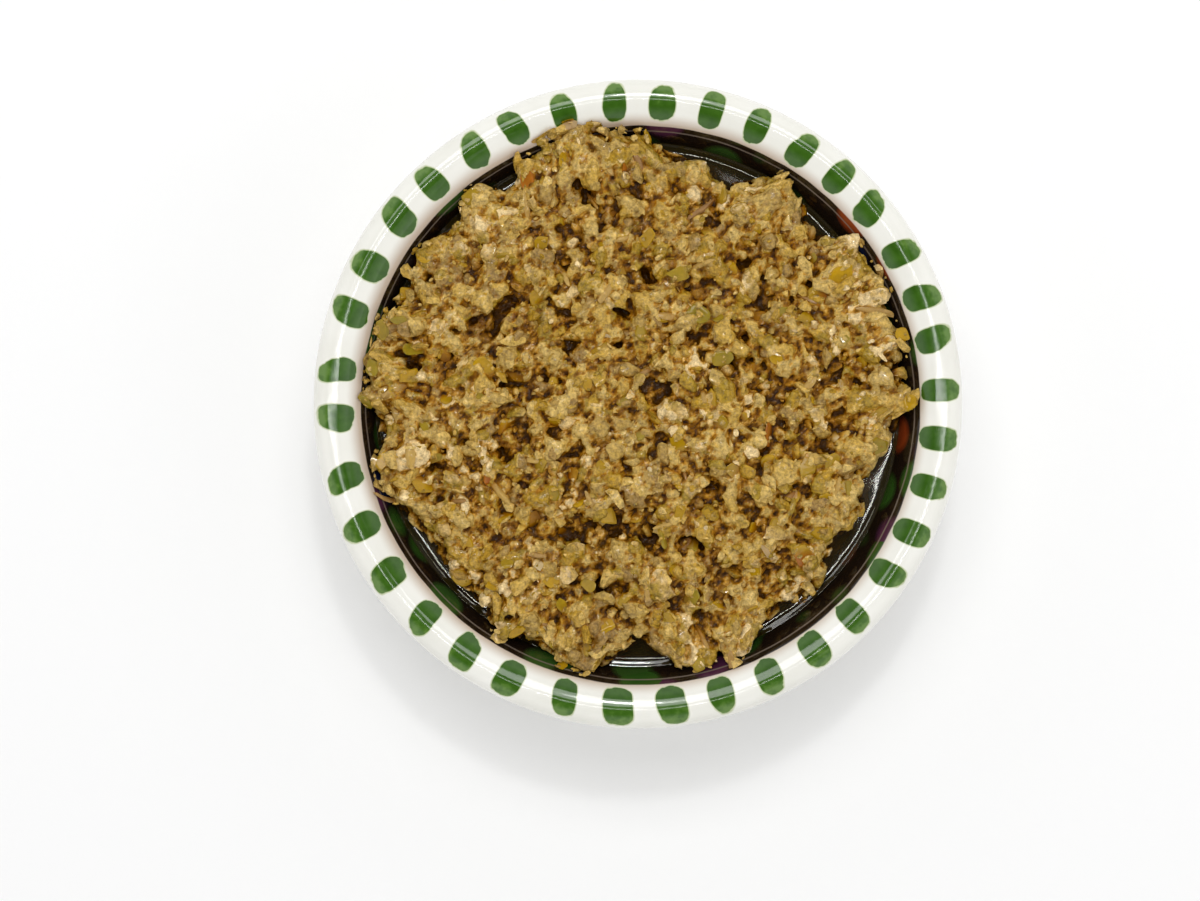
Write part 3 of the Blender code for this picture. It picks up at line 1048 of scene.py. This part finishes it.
def wet_finish(name, tints, grain, contrast, roughness, bump_height, glow=0.0):
    """A wet finish: its tints, the size, contrast and height of its grain, its gloss and its glow."""
    material, tree, shader = new_material(name)
    place = add(tree, "ShaderNodeTexCoord").outputs["Object"]
    tint = add(tree, "ShaderNodeAttribute", attribute_name="tint").outputs["Fac"]
    drift = add(tree, "ShaderNodeTexNoise", {"Vector": place, "Scale": DRIFT_DETAIL, "Detail": 1})
    drifted = add(
        tree,
        "ShaderNodeMapRange",
        {0: drift.outputs["Fac"], 1: 0.3, 2: 0.7, 3: -TINT_DRIFT, 4: TINT_DRIFT},
    )
    tinted = add(tree, "ShaderNodeMath", {0: tint, 1: drifted}, operation="ADD")
    body = add(tree, "ShaderNodeValToRGB", {0: tinted}, tints)
    speckle = add(
        tree, "ShaderNodeTexNoise", {"Vector": place, "Scale": 1 / grain, "Detail": 5, "Roughness": 0.75}
    )
    light = add(
        tree,
        "ShaderNodeMapRange",
        {0: speckle.outputs["Fac"], 1: 0.3, 2: 0.7, 3: 1 - contrast, 4: 1 + contrast},
    )
    grainy = add(tree, "ShaderNodeVectorMath", {0: body, "Scale": light}, operation="SCALE")
    # How deep a point lies turns its colour darker, as oil stain and as painted shade.
    buried = add(tree, "ShaderNodeAttribute", attribute_name="buried").outputs["Fac"]
    stain_and_shade = add(tree, "ShaderNodeValToRGB", {0: buried}, OIL_STAIN_AND_SHADE)
    stained_and_shaded = add(tree, "ShaderNodeVectorMath", {0: grainy, 1: stain_and_shade}, operation="MULTIPLY")
    tree.links.new(stained_and_shaded.outputs[0], shader.inputs["Base Color"])
    fine = add(
        tree, "ShaderNodeTexNoise", {"Vector": place, "Scale": 1.1 / grain, "Detail": 2, "Roughness": 0.5}
    )
    crumbs = add(tree, "ShaderNodeTexVoronoi", {"Vector": place, "Scale": 1 / grain})
    raised = add(
        tree,
        "ShaderNodeMath",
        {0: crumbs.outputs["Distance"], 1: -0.25, 2: fine.outputs["Fac"]},
        operation="MULTIPLY_ADD",
    )
    bump = add(tree, "ShaderNodeBump", {"Height": raised, "Strength": 1.0, "Distance": bump_height})
    tree.links.new(bump.outputs["Normal"], shader.inputs["Normal"])
    shader.inputs["Roughness"].default_value = roughness
    shader.inputs["IOR"].default_value = FLESH_IOR
    shader.inputs["Specular IOR Level"].default_value = 0.12
    film = add(
        tree,
        "ShaderNodeMapRange",
        {0: buried, 1: FILM_DEPTHS[0], 2: FILM_DEPTHS[1], 3: FILM_WEIGHTS[0], 4: FILM_WEIGHTS[1]},
    )
    tree.links.new(film.outputs[0], shader.inputs["Coat Weight"])
    shader.inputs["Coat Roughness"].default_value = 0.05
    shader.inputs["Coat IOR"].default_value = OIL_IOR
    shader.inputs["Subsurface Weight"].default_value = glow
    shader.inputs["Subsurface Radius"].default_value = (1.0, 0.55, 0.2)
    shader.inputs["Subsurface Scale"].default_value = 0.7 * MM
    return material


# Olive flesh that is chopped and pressed in oil: straw to olive-brown, coarse and torn.
PULP_TINTS = [
    (0.0, "9c7c42"), (0.15, "b09048"), (0.38, "ccac62"), (0.58, "c09c48"),
    (0.74, "aa8424"), (0.86, "9a7e28"), (0.92, "bc9a56"), (1.0, "e4c890"),
]
pulp = wet_finish(
    "chopped_olive_flesh", PULP_TINTS, grain=1.0 * MM, contrast=0.62, roughness=0.14, bump_height=0.6 * MM
)

# The skin of green olives: smooth, a little translucent, from mustard to a rusty bruise.
SKIN_TINTS = [(0.0, "a07c0e"), (0.5, "b48c14"), (0.7, "8e7a1e"), (0.93, "a88424"), (1.0, "a2621a")]
skin = wet_finish(
    "olive_skin", SKIN_TINTS, grain=2.5 * MM, contrast=0.25, roughness=0.14, bump_height=0.15 * MM, glow=0.15
)

# Nuts and garlic: pale, waxy and almost plain, and light passes a little way into them.
CREAM_TINTS = [(0.0, "b89c68"), (0.6, "ccb686"), (1.0, "a88a5c")]
cream = wet_finish(
    "chopped_nut_and_garlic", CREAM_TINTS,
    grain=2 * MM, contrast=0.15, roughness=0.16, bump_height=0.2 * MM, glow=0.15
)

# The stringy flesh near the stone: pale tan, with a fine even grain.
FIBRE_TINTS = [(0.0, "a8844c"), (0.5, "bb9850"), (1.0, "967042")]
fibre = wet_finish(
    "fibrous_olive_flesh", FIBRE_TINTS, grain=0.9 * MM, contrast=0.2, roughness=0.16, bump_height=0.3 * MM
)

# Crushed flesh and oil at the bottom of the cracks, without bits to tell apart: darker than the bits, partly
# as painted shade for the cracks.
MUSH_AND_SHADE_TINTS = [(0.0, "8a6c1c"), (1.0, "94802c")]
mush = wet_finish(
    "oily_mush", MUSH_AND_SHADE_TINTS, grain=0.9 * MM, contrast=0.4, roughness=0.16, bump_height=0.4 * MM
)
core.data.materials.append(mush)
print("finishes", len(bpy.data.materials))

# %% [markdown]
# ## Fusing the chopped flesh
#
# Wet flesh sticks together in ragged clumps, so the large bits are fused. They are scattered
# thickly over the core, joined with it and remeshed into one skin, which rounds the joints
# between them a little, as oil does. Each point of the skin then takes the tint of the bit that
# it came from.

# %% The surface of a pile
CRUST_CELL = 0.6 * MM
CRUST_REACH = 62 * MM
CRUST_SIDE = 2 * round(CRUST_REACH / CRUST_CELL) + 1
FILLED_PIT = 2.0 * MM
PIT_DEPTH = 0.8 * MM


def seen_from_above(pieces):
    """The height of whatever lies on top, over a square grid of places."""
    graph = bpy.context.evaluated_depsgraph_get()
    heights = np.full((CRUST_SIDE, CRUST_SIDE), -1.0)
    places = (np.arange(CRUST_SIDE) - CRUST_SIDE // 2) * CRUST_CELL
    down = Vector((0, 0, -1))
    for piece in pieces:
        tree = BVHTree.FromObject(piece, graph)
        for i, x in enumerate(places):
            for j, y in enumerate(places):
                if x * x + y * y > RIM_RADIUS**2:
                    continue
                hit = tree.ray_cast(Vector((x, y, 0.1)), down)[0]
                if hit:
                    heights[i, j] = max(heights[i, j], hit.z)
    return heights


def crust_object(heights):
    """A thin surface over the pile, for the smaller bits to lie on."""
    places = (np.arange(CRUST_SIDE) - CRUST_SIDE // 2) * CRUST_CELL
    numbers = {}
    points = []
    for i, j in np.argwhere(heights > OIL_LEVEL - 0.5 * MM):
        numbers[(i, j)] = len(points)
        points.append((places[i], places[j], heights[i, j]))
    faces = []
    for i, j in numbers:
        corners = [(i, j), (i + 1, j), (i + 1, j + 1), (i, j + 1)]
        if all(corner in numbers for corner in corners):
            faces.append([numbers[corner] for corner in corners])
    mesh = bpy.data.meshes.new("crust")
    mesh.from_pydata(points, [], faces)
    store(mesh, "crack", [crack(Vector(point)) for point in points])
    return new_object("crust", mesh)


print("the pile is looked at every", CRUST_CELL / MM, "mm")

# %% The bits to fuse
layers = [
    scatter(
        "flesh_layer", core, Bits=lumps, Finish=pulp, Spacing=2.4 * MM, Density=1e6,
        Smallest=2.4 * MM, Largest=5.6 * MM, Tilt=1.5, Lowest_lift=-0.8 * MM, Highest_lift=1.0 * MM,
        Seed=4, Least_upward=-2.0
    ),
    scatter(
        "clump_layer", core, Bits=lumps, Finish=pulp, Spacing=5.2 * MM, Density=1e5,
        Smallest=5.0 * MM, Largest=8.6 * MM, Tilt=1.5, Lowest_lift=-0.8 * MM, Highest_lift=1.4 * MM,
        Seed=11, Least_upward=-2.0
    ),
]


def closed_over(heights, reach):
    """The heights with every pit narrower than twice the reach filled, as if a ball had rolled over."""
    steps = round(reach / CRUST_CELL)
    around = [
        (i, j)
        for i in range(-steps, steps + 1)
        for j in range(-steps, steps + 1)
        if i * i + j * j <= steps * steps
    ]
    risen = np.max([np.roll(heights, place, (0, 1)) for place in around], axis=0)
    return np.min([np.roll(risen, place, (0, 1)) for place in around], axis=0)


def cell_of(places):
    """The row and column of the square grid that each place lies in."""
    cells = np.round(np.asarray(places)[..., :2] / CRUST_CELL).astype(int) + CRUST_SIDE // 2
    return np.clip(cells, 0, CRUST_SIDE - 1)


filled = closed_over(seen_from_above([core, *layers]), FILLED_PIT)
for vertex in core.data.vertices:
    i, j = cell_of(vertex.co)
    open_depth = PIT_DEPTH + CRACK_DEPTH * crack(vertex.co)
    if vertex.co.z > OIL_LEVEL + 1 * MM:
        vertex.co.z = max(vertex.co.z, filled[i, j] - open_depth)
crust = crust_object(seen_from_above([core, *layers]))
layers.append(
    scatter(
        "crumb_layer", crust, Bits=small_bits, Finish=pulp, Spacing=1.5 * MM, Density=1e6,
        Smallest=0.9 * MM, Largest=2.4 * MM, Tilt=1.5, Lowest_lift=-0.5 * MM, Highest_lift=0.15 * MM,
        Seed=18, Least_upward=0.2
    )
)
bpy.data.objects.remove(crust)


# The clump on the lip: its lumps, their bearings in degrees and their places and sizes in mm.
CLUMP_SEED = 8
CLUMP_LUMPS = 26
CLUMP_BEARING = 103.5
CLUMP_SPREAD = 2.6
CLUMP_RADII = (54.5, 60.3)
CLUMP_SIZES = (2.6, 4.4)
CLUMP_FLOOR = 49.5 * MM
CLUMP_LIFT = 0.7 * MM


def clump_on_lip():
    """Lumps heaped where some of the tapenade has slid out onto the lip, with a tint each."""
    picker = random.Random(CLUMP_SEED)
    made = bmesh.new()
    tints = []
    for i in range(CLUMP_LUMPS):
        bearing = math.radians(picker.gauss(CLUMP_BEARING, CLUMP_SPREAD))
        radius = picker.uniform(*CLUMP_RADII) * MM
        rise = math.sqrt(LIP_INNER_BEND**2 - min(LIP_CREST - radius, LIP_INNER_BEND) ** 2)
        on_bend = radius > lip_point(LIP_INNER_END)[0]
        height = RIM_HEIGHT - LIP_INNER_BEND + rise if on_bend else CLUMP_FLOOR
        place = (radius * math.cos(bearing), radius * math.sin(bearing), height + CLUMP_LIFT)
        where = Matrix.Translation(place)
        turn = Euler([picker.uniform(0, math.tau) for _ in range(3)]).to_matrix().to_4x4()
        size = Matrix.Scale(picker.uniform(*CLUMP_SIZES) * MM, 4)
        source = lumps.objects[i % len(lumps.objects)].data
        before = len(made.verts)
        made.from_mesh(source)
        made.verts.ensure_lookup_table()
        bmesh.ops.transform(made, matrix=where @ turn @ size, verts=made.verts[before:])
        tints += [picker.random()] * len(source.vertices)
    mesh = finished_mesh("lip_clump", made)
    store(mesh, "tint", tints)
    return new_object("lip_clump", mesh)


layers.append(clump_on_lip())


def join_meshes(name, objects):
    """One object with copies of several objects' meshes."""
    made = bmesh.new()
    for obj in objects:
        made.from_mesh(obj.data)
    return new_object(name, finished_mesh(name, made))


all_bits = join_meshes("all_bits", layers)
print(len(all_bits.data.polygons), "faces to fuse")

# %% [markdown]
# The skin is then roughened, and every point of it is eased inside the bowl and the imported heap's
# outline. Where that outline comes close to the wall the skin leans on the wall above the oil.

# %% Fuse them
VOXEL = 0.55 * MM
GRAIN_HEIGHT = 0.38 * MM
COARSE_GRAIN = 1.5 * MM
FINE_GRAIN = 0.6 * MM
EDGE_SOFTNESS = 1.3 * MM
EDGE_MARGIN = 0.9 * MM
WALL_MARGIN = 0.1 * MM
TOP_SOFTNESS = 2.6 * MM
TOP_MARGIN = 0.05 * MM
# How far the heap leans, and between which reaches, heights and radii it starts to.
LEAN = 2.3 * MM
LEAN_REACHES = (56.2 * MM, 57.6 * MM)
LEAN_HEIGHTS = (45.5 * MM, 48.5 * MM)
LEAN_RADII = (46 * MM, 55 * MM)
# Where the clump may stand past the outline: its bearing and spread in degrees, and how high up.
CLUMP_OUTLET = 104
CLUMP_OUTLET_SPREAD = 6
CLUMP_HEIGHTS = (49 * MM, 50.5 * MM)
CLUMP_REACH = 62.9 * MM


def eased(value, softness, limit):
    """A value that is left alone until it comes near a limit, which it then never passes."""
    over = value - (limit - softness)
    return value if over <= 0 else limit - softness * math.exp(-over / softness)


def keep_inside(point):
    """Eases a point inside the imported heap's outline, the bowl's wall and the heap's top."""
    radius = math.hypot(point.x, point.y)
    bearing = math.atan2(point.y, point.x)
    away = (math.degrees(bearing) - CLUMP_OUTLET) / CLUMP_OUTLET_SPREAD
    on_lip = math.exp(-away * away) * smoothstep(*CLUMP_HEIGHTS, point.z)
    reach = reach_at(smooth_reaches, bearing)
    lean = LEAN * smoothstep(*LEAN_REACHES, reach) * smoothstep(*LEAN_HEIGHTS, point.z)
    edge = reach + EDGE_MARGIN + lean
    edge = min(edge + (CLUMP_REACH - edge) * on_lip, wall_radius(point.z) - WALL_MARGIN)
    wanted = eased(radius + lean * smoothstep(*LEAN_RADII, radius), EDGE_SOFTNESS, edge)
    point.x *= wanted / max(radius, 1e-6)
    point.y *= wanted / max(radius, 1e-6)
    point.z = eased(point.z, TOP_SOFTNESS, cad_box[1][2] - TOP_MARGIN)
    return point


def separate_shells(made):
    """The points of a mesh, in one list for each shell that isn't joined to the others."""
    shells = []
    seen = set()
    for start in made.verts:
        if start in seen:
            continue
        seen.add(start)
        shell = [start]
        for vertex in shell:
            for edge in vertex.link_edges:
                other = edge.other_vert(vertex)
                if other not in seen:
                    seen.add(other)
                    shell.append(other)
        shells.append(shell)
    return shells


def fused_mass():
    """The core and the bits on it as one skin, cut off flat below and without loose shells."""
    together = join_meshes("together", [core, all_bits])
    remesh = together.modifiers.new("Fuse", "REMESH")
    remesh.mode = "VOXEL"
    remesh.voxel_size = VOXEL
    mesh = evaluated_mesh("chopped_olive_mass", together)
    bpy.data.objects.remove(together)
    fused = bmesh.new()
    fused.from_mesh(mesh)
    everything = [*fused.verts, *fused.edges, *fused.faces]
    cut = bmesh.ops.bisect_plane(
        fused, geom=everything, plane_co=(0, 0, CORE_BOTTOM), plane_no=(0, 0, -1), clear_outer=True
    )
    rim = [edge for edge in cut["geom_cut"] if isinstance(edge, bmesh.types.BMEdge)]
    bmesh.ops.triangle_fill(fused, edges=rim, use_beauty=False, use_dissolve=False)
    shells = sorted(separate_shells(fused), key=len)
    hidden = [vertex for shell in shells[:-1] for vertex in shell]
    bmesh.ops.delete(fused, geom=hidden, context="VERTS")
    fused.normal_update()
    for vertex in fused.verts:
        point = vertex.co
        grain = 0.35 - 1.6 * abs(noise.noise(point / COARSE_GRAIN)) + 0.7 * noise.noise(point / FINE_GRAIN)
        vertex.co = keep_inside(point + vertex.normal * grain * GRAIN_HEIGHT)
    fused.to_mesh(mesh)
    fused.free()
    mesh.shade_smooth()
    return mesh


mass = new_object("chopped_olive_mass", fused_mass())
mass.data.materials.clear()
mass.data.materials.append(pulp)
print(len(mass.data.polygons), "faces in the fused mass")

# %% Give each point its bit's tint
TINT_STRAY = 0.12
TINT_STRAY_SIZE = 1.5 * MM
CORE_SINK = Vector((0, 0, 1 * MM))


def tint_from(bits, mesh):
    """Gives each point of a mesh the tint of the nearest bit that it was fused from, or close to it."""
    tree = BVHTree.FromObject(bits, bpy.context.evaluated_depsgraph_get())
    tints = bits.data.attributes["tint"].data
    polygons = bits.data.polygons
    found = []
    for vertex in mesh.vertices:
        nearest = tree.find_nearest(vertex.co)[2]
        strayed = TINT_STRAY * noise.noise(vertex.co / TINT_STRAY_SIZE)
        found.append(tints[polygons[nearest].vertices[0]].value + strayed)
    store(mesh, "tint", found)


# The core sinks a little, so that it only shows at the bottom of the cracks.
for vertex in core.data.vertices:
    if vertex.co.z > OIL_LEVEL:
        vertex.co = keep_inside(vertex.co.copy()) - CORE_SINK
large_bits = join_meshes("large_bits", [layer for layer in layers if layer.name != "crumb_layer"])
tint_from(large_bits, mass.data)
for layer in (*layers, all_bits, large_bits):
    bpy.data.objects.remove(layer)
print("tinted", len(mass.data.vertices), "points")

# %% [markdown]
# ## Loose bits
#
# On the mass lie the bits that the eye tells apart, at their true sizes: chunks 2 to 6 mm across,
# slices of skin, nuts and garlic, strips, and last the small bits that fill in between them. They
# lie on a thin surface draped over the mass, so that none is hidden inside it.

# %% The surface they make
crust = crust_object(seen_from_above([mass]))
print("crust", len(crust.data.polygons), "faces")

# %% Scatter the smaller bits on them
pieces = [
    scatter(
        "olive_pieces", crust, Bits=chunks, Finish=pulp, Spacing=3.4 * MM, Density=2e5,
        Smallest=2.4 * MM, Largest=6.2 * MM, Tilt=0.9, Lowest_lift=-1.0 * MM, Highest_lift=0.1 * MM,
        Seed=63, Least_upward=0.3
    ),
    scatter(
        "olive_skin_slices", crust, Bits=slices, Finish=skin, Spacing=5.5 * MM, Density=3e4,
        Smallest=3.0 * MM, Largest=6.4 * MM, Tilt=0.45, Lowest_lift=-0.3 * MM, Highest_lift=0.3 * MM,
        Seed=21, Least_upward=0.6
    ),
    scatter(
        "nut_and_garlic_bits", crust, Bits=nuts, Finish=cream, Spacing=11 * MM, Density=4e3,
        Smallest=1.8 * MM, Largest=4.6 * MM, Tilt=1.0, Lowest_lift=-0.7 * MM, Highest_lift=0 * MM,
        Seed=34, Least_upward=0.6
    ),
    scatter(
        "flesh_strips", crust, Bits=strips, Finish=fibre, Spacing=9 * MM, Density=1e4,
        Smallest=3.4 * MM, Largest=6 * MM, Tilt=0.3, Lowest_lift=-0.2 * MM, Highest_lift=0.2 * MM,
        Seed=45, Least_upward=0.6
    ),
]
bpy.data.objects.remove(crust)
crust = crust_object(seen_from_above([mass, *pieces]))
pieces.append(
    scatter(
        "olive_bits", crust, Bits=small_bits, Finish=pulp, Spacing=1.7 * MM, Density=4e5,
        Smallest=0.7 * MM, Largest=2.0 * MM, Tilt=1.2, Lowest_lift=-0.3 * MM, Highest_lift=0.2 * MM,
        Seed=52, Least_upward=0.45
    )
)
bpy.data.objects.remove(crust)
for piece in pieces:
    for vertex in piece.data.vertices:
        vertex.co = keep_inside(vertex.co.copy())
pieces.insert(0, mass)
print(len(pieces), "kinds of bits")

# %% [markdown]
# ## Oil and painted shade in the hollows
#
# A bit's colour depends on how deep it lies: oil drains down into the cracks, and deep places are
# darkened as painted shade too. The heights of the pile's top are blurred a little, more and a lot,
# which gives the level of the bits, of the clumps and of the heap round each place. Every point
# stores how far below the three it lies, and a point of the mass also how far it is down a crease
# between two bits, which darkens the crease as painted shade.

# %% How deep each point lies
def blurred(heights, passes):
    """The heights, smoothed over their neighbours and filled where nothing lies."""
    filled = np.where(heights > 0, heights, OIL_LEVEL)
    for _ in range(passes):
        filled = (filled + np.roll(filled, 1, 0) + np.roll(filled, -1, 0)) / 3
        filled = (filled + np.roll(filled, 1, 1) + np.roll(filled, -1, 1)) / 3
    return filled


def crease_depth(mesh):
    """How far each point lies below the middle of its neighbours, along its normal."""
    places = read_all(mesh.vertices, "co", 3)
    normals = read_all(mesh.vertex_normals, "vector", 3)
    edges = read_all(mesh.edges, "vertices", 2, np.int32)
    start, end = edges.T
    count = np.bincount(edges.ravel(), minlength=len(places))
    along_edge = places[end] - places[start]
    rise = np.bincount(start, (along_edge * normals[start]).sum(1), len(places))
    rise -= np.bincount(end, (along_edge * normals[end]).sum(1), len(places))
    rise /= np.maximum(count, 1)
    near = np.bincount(start, rise[end], len(places)) + np.bincount(end, rise[start], len(places))
    return (rise + near) / (count + 1)


# Each level's passes of blur, the depth below it that counts as 1, and the least and most it adds.
LEVELS = (
    (5, 4.6 * MM, -np.inf, np.inf),
    (26, 4.0 * MM, -0.2, 0.5),
    (110, 4.5 * MM, -0.1, 0.5),
)
CREASE_DEPTH = 0.15 * MM
CREASE_LIMITS = (-0.25, 0.6)
SUBMERGED_SHADE = 0.75
pile_top = seen_from_above(pieces)
levels = [(blurred(pile_top, passes), *rest) for passes, *rest in LEVELS]
# What each point stores here drives the oil stain and the painted shade of its finish.
for piece in [core, *pieces]:
    mesh = piece.data
    places = read_all(mesh.vertices, "co", 3)
    rows, columns = cell_of(places).T
    depth = np.zeros(len(places))
    for heights, full_depth, least, most in levels:
        depth += np.clip((heights[rows, columns] - places[:, 2]) / full_depth, least, most)
    if piece is mass:
        depth += np.clip(crease_depth(mesh) / CREASE_DEPTH, *CREASE_LIMITS)
    depth = np.minimum(depth, np.where(places[:, 2] < OIL_LEVEL, SUBMERGED_SHADE, 1))
    store(mesh, "buried", np.clip(depth, 0, 1).astype(np.float32))
    mesh.calc_loop_triangles()
    print(piece.name, len(mesh.loop_triangles), "triangles")

# %% [markdown]
# ## The oil
#
# Olive oil is clear and yellow-green, and over the dark glaze it looks almost black, with sharp
# reflections. Its surface climbs a little where it meets the wall and the heap. The piece reaches
# just into both, so that no gap of air shows.

# %% The oil
OIL_SEGMENTS = 360
OIL_RINGS = 40
OIL_INNER = 45 * MM
OIL_OVERLAP = 0.5 * MM
# The surface lies a little low, because it climbs at the wall and at the heap: how high, how far.
OIL_DIP = 0.25 * MM
WALL_CLIMB = (0.4 * MM, 0.7 * MM)
HEAP_CLIMB = (0.03 * MM, 2 * MM)
OIL_WAVE = 0.05 * MM
OIL_WAVE_SIZE = 8 * MM
# The oil's underside, out of sight in the wall and the heap: the radius and height of each ring.
OIL_UNDERSIDE = ((56.3 * MM, 38 * MM), (55.6 * MM, 35 * MM), (OIL_INNER, 35 * MM))


def oil_mesh():
    """The moat as a closed ring: rings of points over the surface, then three on the underside."""
    made = bmesh.new()
    wall = wall_radius(OIL_LEVEL)
    bearings = [math.tau * k / OIL_SEGMENTS for k in range(OIL_SEGMENTS)]
    rows = []
    for i in range(OIL_RINGS + 1):
        radius = OIL_INNER + (wall + OIL_OVERLAP - OIL_INNER) * (i / OIL_RINGS)
        row = []
        for bearing in bearings:
            x, y = radius * math.cos(bearing), radius * math.sin(bearing)
            climb = WALL_CLIMB[0] * math.exp(-max(0, wall - radius) / WALL_CLIMB[1])
            off_heap = abs(radius - reach_at(smooth_reaches, bearing))
            climb += HEAP_CLIMB[0] * math.exp(-off_heap / HEAP_CLIMB[1])
            wave = OIL_WAVE * noise.noise(Vector((x, y, 0)) / OIL_WAVE_SIZE)
            row.append(made.verts.new((x, y, OIL_LEVEL - OIL_DIP + climb + wave)))
        rows.append(row)
    for radius, height in OIL_UNDERSIDE:
        row = [(radius * math.cos(bearing), radius * math.sin(bearing), height) for bearing in bearings]
        rows.append([made.verts.new(place) for place in row])
    rows.append(rows[0])
    for inner, outer in zip(rows, rows[1:]):
        for k in range(OIL_SEGMENTS):
            j = (k + 1) % OIL_SEGMENTS
            made.faces.new((inner[k], outer[k], outer[j], inner[j])).smooth = True
    bmesh.ops.recalc_face_normals(made, faces=made.faces)
    return finished_mesh("oil_pool", made)


oil_piece = new_object("oil_pool", oil_mesh())
# Cloudy green olive oil: it tints what lies under it and mirrors the lights like a dark glass.
oil, tree, shader = new_material("olive_oil")
shader.inputs["Base Color"].default_value = linear("a89040")
shader.inputs["Roughness"].default_value = 0.06
shader.inputs["IOR"].default_value = OIL_IOR
shader.inputs["Transmission Weight"].default_value = 0.95
oil_piece.data.materials.append(oil)
print(len(oil_piece.data.polygons), "faces in the oil")

# %% [markdown]
# ## One body
#
# Nothing here moves on its own, so every piece rides on the one body. The bowl, the core and the
# oil take the place of the imported model's plain solids, and the bits are extra pieces.

# %% Everything rides on the bowl
for piece, node, slot in (
    (bowl, "bowl", "glaze"),
    (core, "tapenade", "olive_pulp"),
    (oil_piece, "oil", "oil"),
):
    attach(piece, "root")
    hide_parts(node)
for piece in pieces:
    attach(piece, "root")
